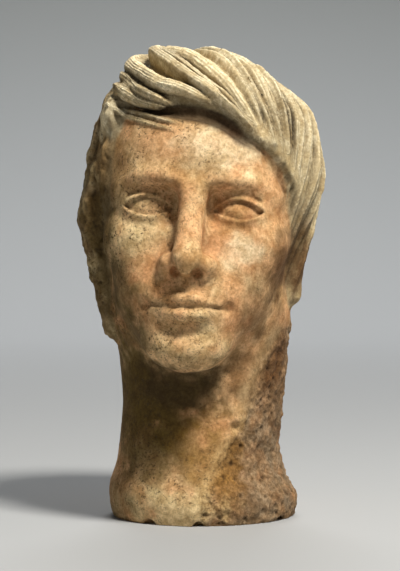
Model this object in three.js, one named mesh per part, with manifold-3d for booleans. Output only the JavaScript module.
// Votive head of fired clay: a young man's head on its own tall flared neck, one piece, hollow
// and open below. Millimetres, +Z up, the face towards -Y. The origin is on the ground under the
// middle of the piece. Left and right are those of someone who faces it: right is +X.
//
// The head is one smooth solid described by distances: balls, rods and locks of hair are blended
// into each other, the surface is meshed on a grid, and the mesh is thinned where it is nearly flat.

import * as THREE from "three";
import { mergeVertices } from "three/addons/utils/BufferGeometryUtils.js";
import Module from "manifold-3d";

// Driving dimensions
const neckHalfWidth = 51.5;
const neckHalfDepth = 55;
const underside = 7;              // height of the underside on the sculpting table
const footFlare = 9;              // how far the foot stands out past the neck
const footSpan = 19;              // height over which it dies out
const footRound = 7;              // how far the foot's lower edge is drawn in
const footRise = 18;              // height of the foot's widest point
const neckMiddle = 12;            // y of the neck's axis
const headPivot = [-5, 8, 100];   // the point under the chin that the head turns about
const headTurn = { yaw: -6, pitch: -4, roll: 3 };
const crownCentre = [0, 10, 226];
const hairRadii = [70.5, 84, 76.5];
const crownLean = 0.16;           // how far the crown leans to the left, by height
const crownDraw = 0.0045;         // how far its right slope is drawn in, by height and width
const hairEndsRight = 143;        // lower end of the hair, on the right and at the back
const hairEndsLeft = 22;          // how much lower it ends on the worn left side
const whorl = [-10, 34, 303];     // where the strands of hair start
const sweepLocks = 17;
const sideLocks = 9;
const backLocks = 12;
const leftLocks = 6;
const wallCentre = [-1, 13];      // axis of the hollow
const hollowDepth = 1.2;          // depth of the hollow over its width
const hollowTop = 284;
const spareBelow = 4;
const flatBelow = 0.05;           // a corner this near the underside lies on it
const gridStep = 2.2;             // spacing of the grid that the surface is meshed on
const gridLow = [-90, -100, -8];
const gridHigh = [90, 110, 320];
const trianglesKept = 9600;
const faceCare = 5;               // how closely the face is followed, against 1 for the hair above it
const backCare = 0.35;            // and the plainer back
const plainCare = 0.5;            // and the neck
const hollowCare = 0.04;          // and the hollow
const insideBy = 4;               // a corner deeper than this in the clay belongs to the hollow
const sliver = 0.01;              // a triangle less full than this has no useful direction
const leastFullness = 0.12;       // of a triangle that thinning leaves
const mostTurn = 0.4;             // cosine of the most that thinning turns a triangle

const { clamp, lerp, degToRad } = THREE.MathUtils;

// Distances of simple forms, below zero inside

function ball(x, y, z, centre, radii) {
  const px = (x - centre[0]) / radii[0];
  const py = (y - centre[1]) / radii[1];
  const pz = (z - centre[2]) / radii[2];
  const near = Math.hypot(px, py, pz);
  const slope = Math.hypot(px / radii[0], py / radii[1], pz / radii[2]);
  return (near * (near - 1)) / Math.max(slope, 1e-6);
}

function rod(x, y, z, a, b, ra, rb) {
  const ab = [b[0] - a[0], b[1] - a[1], b[2] - a[2]];
  const ap = [x - a[0], y - a[1], z - a[2]];
  const along = ap[0] * ab[0] + ap[1] * ab[1] + ap[2] * ab[2];
  const t = clamp(along / (ab[0] ** 2 + ab[1] ** 2 + ab[2] ** 2), 0, 1);
  return Math.hypot(ap[0] - t * ab[0], ap[1] - t * ab[1], ap[2] - t * ab[2]) - lerp(ra, rb, t);
}

function chain(x, y, z, points, radii) {
  let d = Infinity;
  for (let i = 0; i < points.length - 1; i++) {
    d = Math.min(d, rod(x, y, z, points[i], points[i + 1], radii[i], radii[i + 1]));
  }
  return d;
}

// Two forms run together over a width k, and one form taken out of another in the same way

function join(a, b, k) {
  const h = Math.max(k - Math.abs(a - b), 0) / k;
  return Math.min(a, b) - (h * h * k) / 4;
}

function smoothMax(a, b, k) {
  return -join(-a, -b, k);
}

function cut(a, b, k) {
  return smoothMax(a, -b, k);
}

// The second number of each pair, read along a line through the pairs
function lineAt(v, pairs) {
  if (v <= pairs[0][0]) return pairs[0][1];
  for (let i = 1; i < pairs.length; i++) {
    const [v0, w0] = pairs[i - 1];
    const [v1, w1] = pairs[i];
    if (v <= v1) return lerp(w0, w1, (v - v0) / (v1 - v0));
  }
  return pairs[pairs.length - 1][1];
}

// A repeatable scatter between -1 and 1
function scatter(i, salt) {
  const v = Math.sin(i * 12.9898 + salt * 78.233) * 43758.5453;
  return (v - Math.floor(v)) * 2 - 1;
}

// The face, in the head's own frame: z is measured up from the chin, and m is x taken to the right half

function skull(x, y, z) {
  const m = Math.abs(x);
  let d = ball(x, y, z, [0, 6, 126], [64, 78, 72]);
  d = join(d, ball(x, y, z, [0, -24, 132], [59, 54, 58]), 20); // forehead
  d = join(d, ball(x, y, z, [0, -30, 84], [56, 47, 58]), 16);  // middle of the face
  d = join(d, ball(x, y, z, [0, -28, 46], [47, 46, 46]), 16);  // lower face
  d = join(d, ball(m, y, z, [33, -2, 44], [21, 36, 34]), 18);  // corner of the jaw
  d = join(d, ball(m, y, z, [37, -48, 80], [18, 20, 16]), 16); // cheekbone
  d = join(d, ball(m, y, z, [24, -54, 52], [19, 20, 24]), 16); // cheek
  d = join(d, ball(x, y, z, [0, -66, 16], [25, 18, 17]), 20);  // chin
  return join(d, ball(x, y, z, [0, -69, 44], [26, 15.5, 20]), 14);
}

function brow(m, y, z, d) {
  const ridge = [[5, -75.5, 109], [18, -75.5, 115.5], [33, -69, 117], [46, -54.5, 110]];
  let e = join(d, chain(m, y, z, ridge, [4.6, 5, 4.4, 3.4]), 12);
  e = cut(e, ball(m, y, z, [28, -84, 100], [19, 18, 11.5]), 11);
  return cut(e, ball(m, y, z, [13.5, -81, 100], [5, 15, 10]), 10);
}

function eye(m, y, z, d) {
  const across = (m - 28) / 15.8;
  const tilt = 0.03 * (m - 28);
  const lean = clamp(across, -1, 1);
  const top = 99.6 + tilt + 6.6 * (1 - across * across) * (1 - 0.18 * lean);
  const low = 99 + tilt - 5 * (1 - across * across) * (1 + 0.2 * lean);
  const opening = Math.max(z - top, low - z) * 0.9;
  const lids = cut(ball(m, y, z, [28, -57.5, 100], [18.6, 17.2, 15.4]), opening, 1.2);
  const e = join(join(d, lids, 4), ball(m, y, z, [28, -57.5, 99.5], [15.5, 14, 13]), 0.8);
  const crease = [[16, -71, 105], [23, -73.5, 109.4], [32, -73, 110], [41, -67, 106.5]];
  return cut(e, chain(m, y, z, crease, [0.7, 1.3, 1.4, 0.9]), 1.6);
}

function nose(x, m, y, z, d) {
  let e = rod(x, y, z, [0, -73.5, 112], [0, -88, 72], 7, 8.4);
  e = join(e, ball(x, y, z, [0, -92, 67.5], [8.2, 8.6, 7.4]), 6);
  e = join(e, ball(m, y, z, [11.5, -82.5, 64], [6.2, 8.5, 6.8]), 5);
  e = join(e, rod(x, y, z, [0, -93.5, 61], [0, -84, 58], 3.6, 3.6), 4);
  return cut(join(d, e, 7), rod(m, y, z, [6, -92.5, 59], [7, -85, 60], 2.4, 3.2), 1.8);
}

function mouth(x, m, y, z, d) {
  const upper = [[23, -73.8, 39.4], [13, -81.5, 41.6], [4, -86.2, 43.8], [0, -85.4, 42.8]];
  const lower = [[20.5, -74.8, 37.2], [10.5, -82, 34], [0, -84.7, 33]];
  const slit = [[25, -77, 38.6], [13, -85.5, 38.8], [4, -90.4, 38.6], [0, -90, 37.9]];
  let e = cut(d, rod(x, y, z, [0, -86.5, 57], [0, -88, 49], 2, 2.6), 3);
  e = join(e, chain(m, y, z, upper, [1.2, 3.2, 3.9, 3.7]), 2.4);
  e = join(e, chain(m, y, z, lower, [1.2, 4.4, 5.2]), 2.4);
  e = cut(e, chain(m, y, z, slit, [0.9, 1.5, 1.9, 1.9]), 1.2);
  e = cut(e, ball(m, y, z, [26.5, -79, 38.5], [2.6, 5, 3.2]), 4);
  return cut(e, rod(m, y, z, [0, -88, 23], [10, -85, 24], 5, 4), 8);
}

function face(x, y, z) {
  let d = skull(x, y, z);
  if (y < -35 && z > -10 && z < 140) {
    const m = Math.abs(x);
    d = brow(m, y, z, d);
    d = eye(m, y, z, d);
    d = nose(x, m, y, z, d);
    d = mouth(x, m, y, z, d);
  }
  return d;
}

// The head's turn on the neck: a point of the part in the head's own frame
const turn = new THREE.Matrix4().makeRotationFromEuler(new THREE.Euler(
  degToRad(headTurn.pitch), degToRad(headTurn.roll), degToRad(headTurn.yaw), "ZXY"));
const turnBack = turn.clone().transpose();

function intoHead(x, y, z) {
  const e = turnBack.elements;
  const [px, py, pz] = [x - headPivot[0], y - headPivot[1], z - headPivot[2]];
  return [
    e[0] * px + e[4] * py + e[8] * pz,
    e[1] * px + e[5] * py + e[9] * pz,
    e[2] * px + e[6] * py + e[10] * pz,
  ];
}

// The neck, with the tendon's ridge on the right, the lower ground beside it and the chips of the foot

const ridgeLine = [
  [8, -3.7], [19, -1.9], [37, 5.6], [61, 19.3], [74, 26.5], [101, 34], [116, 41], [130, 50],
];
const neckSway = [[18, 0], [30, -2.6], [52, -2.8], [72, -0.9], [90, 0]];
const chips = [
  [[20, -39.5, 67.6], [2.8, 4, 3.4]],
  [[-33, -36.5, 7], [3.6, 5, 3]],
  [[-3.4, -47.5, 7], [3, 5, 3.2]],
  [[48, -18, 7], [3, 5, 3]],
];

function neck(x, y, z) {
  const bell = footFlare * Math.exp(-((Math.max(z - footRise, 0) / footSpan) ** 2));
  const flare = bell - footRound * (clamp(footRise - z, 0, footRise) / footRise) ** 2;
  const a = neckHalfWidth + flare + 4.5 * clamp((z - 80) / 50, 0, 1);
  const b = neckHalfDepth + flare;
  const across = x - lineAt(z, neckSway);
  const deep = y - neckMiddle;
  const near = Math.hypot(across / a, deep / b);
  const slope = Math.hypot(across / a ** 2, deep / b ** 2);
  let d = (near * (near - 1)) / Math.max(slope, 1e-6);
  d = cut(d, 150 - z, 20);
  const aside = x - lineAt(z, ridgeLine);
  const front = clamp(-y / 25, 0, 1) * clamp((116 - z) / 20, 0, 1);
  d += front * (1.6 * clamp(aside / 4 + 0.5, 0, 1) - 1.3 * Math.exp(-(((aside + 4) / 6) ** 2)));
  for (const [centre, radii] of chips) d = cut(d, ball(x, y, z, centre, radii), 3);
  return d;
}

// The hair's mass. In the front view its opening for the face has a hairline, height for each x,
// and a limit on the right and on the left, x for each height.

const hairline = [
  [-62, 276], [-50, 273], [-38, 271], [-26, 268], [-14, 269], [-2, 269], [9, 265],
  [20, 257], [31, 249], [41, 241], [50, 230], [58, 214], [66, 204],
];
const rightLimit = [
  [120, 50], [142, 55], [156, 54], [170, 53], [186, 55], [205, 56], [225, 58], [245, 62],
];
const leftLimit = [
  [100, -44], [122, -50], [146, -56], [172, -60], [202, -64], [226, -63], [262, -57], [285, -52],
];

function helmet(x, y, z) {
  const left = [[-63, -4, 222], [-64.5, 0, 192], [-62, 0, 158], [-56, 2, 130]];
  const right = [[60, -4, 226], [56, 0, 192], [53, 4, 150]];
  const lean = crownLean * Math.max(z - 245, 0);
  const draw = crownDraw * Math.max(x, 0) * Math.max(z - 255, 0);
  let d = ball(x + lean + draw, y, z, crownCentre, hairRadii);
  d = join(d, ball(x, y, z, [2, 28, 178], [60, 61, 56]), 16);
  d = join(d, chain(x, y, z, left, [12, 12.5, 9.5, 8.5]), 10);
  d = join(d, ball(x, y, z, [-74, 0, 203], [6.5, 12, 17]), 4);  // what is left of the ear
  d = join(d, ball(x, y, z, [-57, -21, 263], [7, 12, 11]), 5);  // worn shoulder below the blunt locks
  d = join(d, ball(x, y, z, [46, 8, 255], [20.5, 44, 20]), 10); // fullness of the crown on the right
  d = join(d, ball(x, y, z, [-44, 4, 264], [20, 40, 22]), 8);   // and on the left
  return join(d, chain(x, y, z, right, [13, 8, 10]), 10);
}

function faceOpening(x, y, z) {
  let d = (z - lineAt(x, hairline)) * 0.78;
  d = smoothMax(d, (x - lineAt(z, rightLimit)) * 0.95, 6);
  d = smoothMax(d, (lineAt(z, leftLimit) - x) * 0.95, 6);
  return smoothMax(d, y + 24 - 14 * clamp(x / 40, 0, 1), 10);
}

function hairMass(x, y, z) {
  const d = cut(helmet(x, y, z), faceOpening(x, y, z), 8);
  const low = hairEndsRight - hairEndsLeft * clamp(-x / 30, 0, 1);
  return smoothMax(d, (low - z) * 0.9, 4);
}

// What the locks lie on
function ground(x, y, z) {
  return join(skull(...intoHead(x, y, z)), hairMass(x, y, z), 6);
}

// A point given in full, or by x and z in the front view, where it lies on the front of the head
function inSpace(point) {
  if (point.length === 3) return point;
  const [x, z] = point;
  const depth = Math.sqrt(Math.max(0, 1 - (x / 76) ** 2 - ((z - 226) / 82) ** 2));
  return [x, 10 - 86 * depth, z];
}

// The points of a path, moved along lines from the middle of the head until they lie on the ground
function laid(path) {
  const [middleX, middleY, middleZ] = crownCentre;
  const origins = path.map((p) => new THREE.Vector3(middleX, middleY, Math.min(p.z, middleZ)));
  const ways = path.map((p, i) => p.clone().sub(origins[i]).normalize());
  let reach = path.map((p, i) => {
    let low = 20;
    let high = 140;
    for (let step = 0; step < 20; step++) {
      const middle = (low + high) / 2;
      const q = origins[i].clone().addScaledVector(ways[i], middle);
      if (ground(q.x, q.y, q.z) < 0) low = middle;
      else high = middle;
    }
    return low;
  });
  for (let pass = 0; pass < 2; pass++) {
    const last = reach.length - 1;
    const before = reach;
    reach = before.map((r, i) =>
      (i === 0 || i === last ? r : (before[i - 1] + 2 * r + before[i + 1]) / 4));
  }
  return origins.map((o, i) => o.clone().addScaledVector(ways[i], reach[i]));
}

function slopeOf(field, p, step = 0.5) {
  const { x, y, z } = p;
  return new THREE.Vector3(
    field(x + step, y, z) - field(x - step, y, z),
    field(x, y + step, z) - field(x, y - step, z),
    field(x, y, z + step) - field(x, y, z - step)).normalize();
}

// A lock of hair along a curve: half its width, its height, how far it is lifted off the ground,
// how blunt it starts, how much it tapers, and over what share of its length it spreads to its
// full width
function makeLock(controls, { width, height, lift, blunt, taper, spread = 0.25 }, steps = 16) {
  const curve = new THREE.CatmullRomCurve3(
    controls.map((c) => new THREE.Vector3(...inSpace(c))), false, "catmullrom", 0.5);
  const path = laid(curve.getPoints(steps - 1));
  const rings = path.map((p, i) => {
    const t = i / (steps - 1);
    const next = path[Math.min(i + 1, steps - 1)];
    const along = next.clone().sub(path[Math.max(i - 1, 0)]).normalize();
    const side = along.clone().cross(slopeOf(helmet, p)).normalize();
    const out = side.clone().cross(along);
    const sink = 2.5 * THREE.MathUtils.smoothstep(t, 0.7, 1);
    const start = blunt + (1 - blunt) * clamp(t / spread, 0, 1);
    const end = 1 - taper * t ** 2.2;
    const at = p.clone().addScaledVector(out, lift - sink);
    return { at, side, out, w: width * start * end, h: height * Math.sqrt(start) * end };
  });
  const box = new THREE.Box3().setFromPoints(rings.map((r) => r.at));
  return { rings, box: box.expandByScalar(Math.max(width, height) + 5) };
}

// How far one vector leans along another that turns from a to b
function leaning(ox, oy, oz, a, b, t) {
  return ox * lerp(a.x, b.x, t) + oy * lerp(a.y, b.y, t) + oz * lerp(a.z, b.z, t);
}

function lockAt(lock, x, y, z) {
  let nearest = Infinity;
  let value = Infinity;
  for (let i = 0; i < lock.rings.length - 1; i++) {
    const a = lock.rings[i];
    const b = lock.rings[i + 1];
    const abx = b.at.x - a.at.x;
    const aby = b.at.y - a.at.y;
    const abz = b.at.z - a.at.z;
    const px = x - a.at.x;
    const py = y - a.at.y;
    const pz = z - a.at.z;
    const t = clamp((px * abx + py * aby + pz * abz) / (abx * abx + aby * aby + abz * abz), 0, 1);
    const ox = px - t * abx;
    const oy = py - t * aby;
    const oz = pz - t * abz;
    const away = ox * ox + oy * oy + oz * oz;
    if (away >= nearest) continue;
    nearest = away;
    const w = lerp(a.w, b.w, t);
    const h = lerp(a.h, b.h, t);
    const across = leaning(ox, oy, oz, a.side, b.side, t);
    const up = leaning(ox, oy, oz, a.out, b.out, t);
    const along = Math.max(away - across * across - up * up, 0);
    const near = Math.sqrt((across / w) ** 2 + (up / h) ** 2 + along / (h * h));
    value = (near - 1) * Math.min(w, h);
  }
  return value;
}

// Locks of the fringe: points by x and z on the front, or in full. The blunt ones start at the upper
// left and the others beside the whorl.
const bluntFringe = [
  { points: [[-57, 268], [-43, 263], [-27, 258], [-8, 254]], width: 2.2, height: 2.6, lift: -0.4 },
  { points: [[-53, 270], [-40, 267], [-27, 263], [-12, 260]], width: 1.9, height: 3.2, lift: 0.2 },
  {
    points: [[-54, -20, 280], [-45, -34, 275], [-31, -50, 270], [-17, -58, 266.5]],
    width: 4.6, height: 5.6, lift: 1.2,
  },
  {
    points: [[-51, -14, 288], [-43, -34, 281], [-32, -49, 275], [-17, -58, 269]],
    width: 4, height: 5.8, lift: 1.8,
  },
];
const longFringe = [
  {
    points: [
      [-34, 14, 298], [-45, -9, 295.5], [-38, -28, 288], [-26, -48, 279.5], [-11, -58, 272],
      [4, -61, 266.5],
    ],
    width: 6.8, height: 8.6, lift: 3.4,
  },
  {
    points: [
      [-22, 18, 303], [-31, -7, 302.5], [-20, -36, 291.5], [-6, -54, 279.5], [9, -60, 269.5],
      [28, -58, 252.5],
    ],
    width: 5, height: 8.8, lift: 3.8,
  },
  {
    points: [
      [-17, 22, 306], [-26, 0, 306.5], [-14, -31, 295], [0, -48, 283], [15.5, -56.5, 271.5],
      [33, -58, 252],
    ],
    width: 3.8, height: 6.4, lift: 1,
  },
  {
    points: [
      [-14, 26, 305], [-23, -2, 308], [-8, -22, 299], [6, -40, 289], [21, -51, 274], [37, -57, 248],
    ],
    width: 7.2, height: 7.6, lift: 1.6,
  },
];

// Guides of the sweep over the forehead and down the right side, and the locks shared out between them
const guides = [
  [whorl, [-4, 4, 308], [11, -19, 299], [23, -40, 283], [32, -50, 267], [41, -56, 246]],
  [whorl, [8, 6, 308], [22, -10, 297], [32, -35, 281], [41, -45, 264], [50, -51, 240]],
  [whorl, [21, 6, 303], [36, -10, 292], [46, -28, 274], [50, -41, 258], [53, -47, 224]],
  [whorl, [33, 8, 299], [48, -6, 286], [55, -24, 269], [57, -37, 249], [55, -42, 209]],
  [whorl, [46, 10, 291], [61, -4, 274], [67, -18, 254], [66, -27, 231], [57, -33, 192]],
  [whorl, [56, 14, 282], [71, 0, 258], [74, -9, 236], [69, -17, 211], [57, -21, 172]],
  [whorl, [60, 20, 276], [76, 6, 244], [76, -3, 216], [68, -8, 186], [56, -11, 152]],
  [whorl, [60, 28, 270], [75, 20, 240], [76, 13, 206], [68, 5, 175], [58, -2, 146]],
];

function fringeLocks(fringe, blunt) {
  return fringe.map(({ points, width, height, lift }) =>
    makeLock(points, { width, height, lift, blunt, spread: 0.2, taper: 0.75 }, 20));
}

function sweptLocks() {
  return Array.from({ length: sweepLocks }, (_, i) => {
    const s = (i / (sweepLocks - 1)) * (guides.length - 1);
    const j = Math.min(Math.floor(s), guides.length - 2);
    const controls = guides[j].map((point, k) =>
      point.map((v, n) => lerp(v, guides[j + 1][k][n], s - j)));
    controls[5][0] += 1.5 * scatter(i, 1);
    controls[5][2] += 4 * scatter(i, 1);
    const raised = i % 2;
    const first = Math.exp(-s);
    return makeLock(controls, {
      width: 2.8 + 0.9 * raised + 0.5 * scatter(i, 2) + 1.4 * first,
      height: 4.6 + 1.8 * raised + 0.8 * scatter(i, 3) + 2 * first,
      lift: 0.2 + 1.1 * raised + first,
      blunt: 0.3,
      spread: 0.35,
      taper: 0.72,
    }, 20);
  });
}

// Plainer locks that hang from the whorl to the nape, between two bearings measured from the face
// round to the right
function hangingLocks(count, from, to, ending, lock) {
  return Array.from({ length: count }, (_, i) => {
    const bearing = degToRad(lerp(from, to, i / (count - 1)));
    const [s, c] = [Math.sin(bearing), Math.cos(bearing)];
    const end = bearing - degToRad(ending.swing);
    const controls = [
      [whorl[0], whorl[1], 301],
      [66 * s, 10 - 78 * c, 283],
      [80 * s, 10 - 92 * c, 218],
      [62 * Math.sin(end), 10 - 72 * Math.cos(end), ending.height + 5 * scatter(i, ending.salt)],
    ];
    return makeLock(controls, lock);
  });
}

const locks = [
  ...fringeLocks(bluntFringe, 0.9),
  ...fringeLocks(longFringe, 0.4),
  ...sweptLocks(),
  ...hangingLocks(sideLocks, 103, 158, { swing: 11, height: 152, salt: 6 },
    { width: 4.8, height: 4.8, lift: 0.3, blunt: 0.12, spread: 0.6, taper: 0.55 }),
  ...hangingLocks(backLocks, 168, 245, { swing: 0, height: 150, salt: 9 },
    { width: 5, height: 4.6, lift: 0.3, blunt: 0.12, spread: 0.6, taper: 0.4 }),
  ...hangingLocks(leftLocks, 251, 279, { swing: 0, height: 142, salt: 11 },
    { width: 4.8, height: 3.2, lift: -0.3, blunt: 0.12, spread: 0.6, taper: 0.4 }),
];

// The dark hollow under the overhanging fringe, which runs on down the right side of the forehead,
// by its points on the front of the head, and the worn groove before what is left of the ear
const undercut = laid([
  [-40, 270], [-22, 268], [-3, 264], [13, 258.5], [26, 250], [40, 243], [52, 230], [58, 212],
].map((point) => new THREE.Vector3(...inSpace(point)))).map((p) => p.toArray());
const undercutRadii = [1, 2.4, 3, 3.3, 2.6, 1.2, 0.9, 0.6];
const earGroove = [
  [-70, -16, 228], [-68, -19, 212], [-66, -20, 196], [-64, -20, 180], [-62, -16, 160], [-61, -12, 146],
];
const earGrooveRadii = [1, 2.2, 2.8, 2.6, 2, 1];

// The whole piece, not yet hollow, with some clay to spare below its underside

function head(x, y, z) {
  let d = face(...intoHead(x, y, z));
  d = join(d, neck(x, y, z), 10);
  d = join(d, hairMass(x, y, z), 6);
  if (z > 130 && Math.abs(d) < 14) {
    const p = new THREE.Vector3(x, y, z);
    for (const lock of locks) {
      if (lock.box.containsPoint(p)) d = join(d, lockAt(lock, x, y, z), 2);
    }
    d = cut(d, chain(x, y, z, undercut, undercutRadii), 2);
    d = cut(d, chain(x, y, z, earGroove, earGrooveRadii), 3);
  }
  return Math.max(d, underside - spareBelow - z);
}

// Surface nets: one corner of the mesh in each cell of the grid that the surface passes through,
// and one square across each edge of the grid that it crosses
function surfaceNet(field, low, high, step) {
  const n = low.map((v, i) => Math.ceil((high[i] - v) / step) + 1);
  const at = (i, j, k) => (i * n[1] + j) * n[2] + k;
  const values = new Float32Array(n[0] * n[1] * n[2]);
  for (let i = 0; i < n[0]; i++) {
    for (let j = 0; j < n[1]; j++) {
      for (let k = 0; k < n[2]; k++) {
        values[at(i, j, k)] = field(low[0] + i * step, low[1] + j * step, low[2] + k * step);
      }
    }
  }
  const corner = new Int32Array(values.length).fill(-1);
  const points = [];
  const strides = [at(1, 0, 0), at(0, 1, 0), at(0, 0, 1)];
  for (let i = 0; i < n[0] - 1; i++) {
    for (let j = 0; j < n[1] - 1; j++) {
      for (let k = 0; k < n[2] - 1; k++) {
        const sum = [0, 0, 0];
        let crossings = 0;
        for (let axis = 0; axis < 3; axis++) {
          const [u, v] = [(axis + 1) % 3, (axis + 2) % 3];
          for (let side = 0; side < 4; side++) {
            const offset = [0, 0, 0];
            offset[u] = side & 1;
            offset[v] = side >> 1;
            const first = at(i + offset[0], j + offset[1], k + offset[2]);
            const a = values[first];
            const b = values[first + strides[axis]];
            if (a < 0 === b < 0) continue;
            offset[axis] = a / (a - b);
            for (let m = 0; m < 3; m++) sum[m] += offset[m];
            crossings++;
          }
        }
        if (!crossings) continue;
        corner[at(i, j, k)] = points.length;
        points.push([i, j, k].map((c, m) => low[m] + step * (c + sum[m] / crossings)));
      }
    }
  }
  const faces = [];
  for (let i = 1; i < n[0] - 1; i++) {
    for (let j = 1; j < n[1] - 1; j++) {
      for (let k = 1; k < n[2] - 1; k++) {
        const here = at(i, j, k);
        for (let axis = 0; axis < 3; axis++) {
          const inside = values[here] < 0;
          if (inside === values[here + strides[axis]] < 0) continue;
          const [u, v] = [strides[(axis + 1) % 3], strides[(axis + 2) % 3]];
          const ring = [here - u - v, here - v, here, here - u].map((c) => corner[c]);
          if (!inside) ring.reverse();
          faces.push([ring[0], ring[1], ring[2]], [ring[0], ring[2], ring[3]]);
        }
      }
    }
  }
  return { points, faces };
}

// Thinning by quadric error: the edge whose loss moves the surface least goes first. A quadric is
// kept as the ten numbers of a symmetric 4 x 4 matrix.

function planeQuadric(a, b, c, care) {
  const normal = new THREE.Vector3().subVectors(b, a).cross(new THREE.Vector3().subVectors(c, a));
  const weight = (normal.length() / 2) * care;
  normal.normalize();
  const { x, y, z } = normal;
  const w = -normal.dot(a);
  const products = [x * x, x * y, x * z, x * w, y * y, y * z, y * w, z * z, z * w, w * w];
  return products.map((v) => v * weight);
}

function quadricError(q, p) {
  const { x, y, z } = p;
  return q[0] * x * x + 2 * q[1] * x * y + 2 * q[2] * x * z + 2 * q[3] * x + q[4] * y * y
    + 2 * q[5] * y * z + 2 * q[6] * y + q[7] * z * z + 2 * q[8] * z + q[9];
}

function bestPoint(q, a, b) {
  const middle = a.clone().add(b).multiplyScalar(0.5);
  const pull = 1e-3 * (q[0] + q[4] + q[7]) + 1e-9;
  const m = new THREE.Matrix3().set(
    q[0] + pull, q[1], q[2], q[1], q[4] + pull, q[5], q[2], q[5], q[7] + pull);
  const right = new THREE.Vector3(-q[3], -q[6], -q[8]).addScaledVector(middle, pull);
  const best = right.applyMatrix3(m.invert());
  return best.distanceTo(middle) < 2 * a.distanceTo(b) ? best : middle;
}

function pushUp(heap, item) {
  let i = heap.length;
  heap.push(item);
  while (i > 0) {
    const parent = (i - 1) >> 1;
    if (heap[parent].cost <= item.cost) break;
    heap[i] = heap[parent];
    i = parent;
  }
  heap[i] = item;
}

function takeLeast(heap) {
  const least = heap[0];
  const item = heap.pop();
  if (!heap.length) return least;
  let i = 0;
  for (;;) {
    let child = 2 * i + 1;
    if (child >= heap.length) break;
    if (child + 1 < heap.length && heap[child + 1].cost < heap[child].cost) child++;
    if (heap[child].cost >= item.cost) break;
    heap[i] = heap[child];
    i = child;
  }
  heap[i] = item;
  return least;
}

// A triangle's normal, and how full it is: twice its area over its longest side squared
function corners(a, b, c) {
  const normal = new THREE.Vector3().subVectors(b, a).cross(new THREE.Vector3().subVectors(c, a));
  const longest = Math.max(a.distanceToSquared(b), b.distanceToSquared(c), c.distanceToSquared(a));
  const fullness = normal.length() / Math.max(longest, 1e-12);
  return { normal: normal.normalize(), fullness };
}

function thinned({ points, faces }, wanted, careAt) {
  const at = points.map((p) => new THREE.Vector3(...p));
  const around = points.map(() => new Set());
  const quadrics = points.map(() => new Array(10).fill(0));
  const stamp = new Int32Array(points.length);
  faces.forEach((f, i) => {
    const q = planeQuadric(at[f[0]], at[f[1]], at[f[2]], careAt(at[f[0]]));
    for (const v of f) {
      around[v].add(i);
      for (let k = 0; k < 10; k++) quadrics[v][k] += q[k];
    }
  });
  const neighbours = (v) => {
    const found = new Set();
    for (const i of around[v]) {
      for (const w of faces[i]) found.add(w);
    }
    found.delete(v);
    return found;
  };
  const heap = [];
  const offer = (v, w) => {
    const q = quadrics[v].map((value, k) => value + quadrics[w][k]);
    const to = bestPoint(q, at[v], at[w]);
    const cost = quadricError(q, to) + 1e-4 * at[v].distanceToSquared(at[w]);
    pushUp(heap, { cost, v, w, q, to, stamps: stamp[v] + stamp[w] });
  };
  const keepsItsShape = (v, gone, to) => {
    for (const i of around[v]) {
      const f = faces[i];
      if (f.includes(gone)) continue;
      const [a, b] = [f[(f.indexOf(v) + 1) % 3], f[(f.indexOf(v) + 2) % 3]];
      const before = corners(at[v], at[a], at[b]);
      const after = corners(to, at[a], at[b]);
      const turned = before.normal.dot(after.normal) < mostTurn;
      if (turned && before.normal.lengthSq() > 0 && before.fullness > sliver) return false;
      if (after.fullness < leastFullness && after.fullness <= before.fullness) return false;
    }
    return true;
  };
  for (let v = 0; v < points.length; v++) {
    for (const w of neighbours(v)) {
      if (v < w) offer(v, w);
    }
  }
  let left = faces.length;
  while (left > wanted && heap.length) {
    const { v, w, q, to, stamps } = takeLeast(heap);
    if (!around[v].size || !around[w].size || stamps !== stamp[v] + stamp[w]) continue;
    const nearV = neighbours(v);
    const shared = [...neighbours(w)].filter((u) => nearV.has(u));
    if (!nearV.has(w) || shared.length !== 2) continue;
    if (!keepsItsShape(v, w, to) || !keepsItsShape(w, v, to)) continue;
    for (const i of around[w]) {
      const f = faces[i];
      if (f.includes(v)) {
        for (const u of f) {
          if (u !== w) around[u].delete(i);
        }
        faces[i] = null;
        left--;
      } else {
        f[f.indexOf(w)] = v;
        around[v].add(i);
      }
    }
    around[w].clear();
    at[v].copy(to);
    quadrics[v] = q;
    stamp[v]++;
    for (const u of neighbours(v)) stamp[u]++;
    for (const u of neighbours(v)) {
      offer(v, u);
      for (const t of neighbours(u)) {
        if (t !== v && u < t) offer(u, t);
      }
    }
  }
  const kept = faces.filter((f) => f);
  const used = [...new Set(kept.flat())];
  const place = new Map(used.map((v, i) => [v, i]));
  return { points: used.map((v) => at[v]), faces: kept.map((f) => f.map((v) => place.get(v))) };
}

// Meshes to solids and back

const wasm = await Module();
wasm.setup();

function asSolid(geometry) {
  geometry.deleteAttribute("normal");
  geometry.deleteAttribute("uv");
  const merged = mergeVertices(geometry, 1e-4);
  return new wasm.Manifold(new wasm.Mesh({
    numProp: 3,
    vertProperties: new Float32Array(merged.attributes.position.array),
    triVerts: new Uint32Array(merged.index.array),
  }));
}

function netSolid() {
  const { points, faces } = surfaceNet(head, gridLow, gridHigh, gridStep);
  const geometry = new THREE.BufferGeometry();
  geometry.setFromPoints(points.map((p) => new THREE.Vector3(...p)));
  geometry.setIndex(faces.flat());
  return asSolid(geometry).trimByPlane([0, 0, 1], underside);
}

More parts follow.
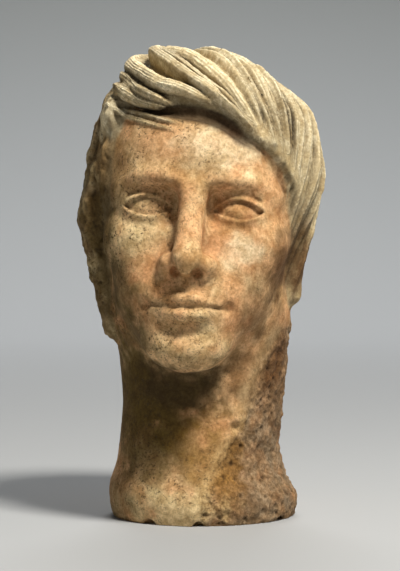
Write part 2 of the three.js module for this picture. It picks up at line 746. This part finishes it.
// Where two folds of the surface touch at a corner, each is drawn back towards its own neighbours
function loosened({ points, faces }) {
  const place = (p) => p.toArray().map((v) => v.toFixed(2)).join();
  const sharing = new Map();
  for (const v of faces.flat()) {
    const key = place(points[v]);
    if (!sharing.has(key)) sharing.set(key, new Set());
    sharing.get(key).add(v);
  }
  const moved = points.map((p) => p.clone());
  for (const group of sharing.values()) {
    if (group.size < 2) continue;
    for (const v of group) {
      const own = faces.filter((f) => f.includes(v)).flat().filter((w) => w !== v);
      const mean = new THREE.Vector3();
      for (const w of own) mean.addScaledVector(points[w], 1 / own.length);
      moved[v].lerp(mean, 0.15);
    }
  }
  return { points: moved, faces };
}

function thinnedGeometry(solid) {
  const { vertProperties, triVerts } = solid.getMesh();
  const triples = (list) =>
    Array.from({ length: list.length / 3 }, (_, i) => [...list.slice(3 * i, 3 * i + 3)]);
  const careAt = ({ x, y, z }) => {
    if (head(x, y, z) < -insideBy) return hollowCare;
    if (z < headPivot[2]) return plainCare;
    if (y > 30) return backCare;
    return y < -35 && z < 245 ? faceCare : 1;
  };
  const mesh = { points: triples(vertProperties), faces: triples(triVerts) };
  const { points, faces } = loosened(thinned(mesh, trianglesKept, careAt));
  for (const p of points) {
    if (p.z < underside + flatBelow) p.z = underside;
  }
  const geometry = new THREE.BufferGeometry().setFromPoints(points);
  geometry.setIndex(faces.flat());
  return geometry;
}

// The hollow inside: a bore up the neck that opens into the head, a little deeper than it is wide
function hollow() {
  const radii = [
    [42, -10], [41, 12], [36, 45], [35, 80], [38, 112],
    [45, 150], [49, 200], [44, 245], [28, 273], [8, hollowTop],
  ];
  const wall = new THREE.SplineCurve(radii.map(([r, z]) => new THREE.Vector2(r, z)));
  const profile = [new THREE.Vector2(0, -10), ...wall.getPoints(18), new THREE.Vector2(0, hollowTop)];
  const geometry = new THREE.LatheGeometry(profile, 28);
  geometry.rotateX(Math.PI / 2);
  geometry.scale(1, hollowDepth, 1);
  geometry.translate(wallCentre[0], wallCentre[1], 0);
  return asSolid(geometry);
}

const clay = new THREE.MeshStandardMaterial({ color: 0xb98d62, roughness: 0.9, metalness: 0 });
const votiveHead = new THREE.Mesh(thinnedGeometry(netSolid().subtract(hollow())), clay);
votiveHead.name = "votive_head";

// The origin goes under the middle of the piece
votiveHead.geometry.computeBoundingBox();
const middle = votiveHead.geometry.boundingBox.getCenter(new THREE.Vector3());
votiveHead.geometry.translate(-middle.x, -middle.y, -underside);

const part = new THREE.Group();
part.add(votiveHead);

export default part;
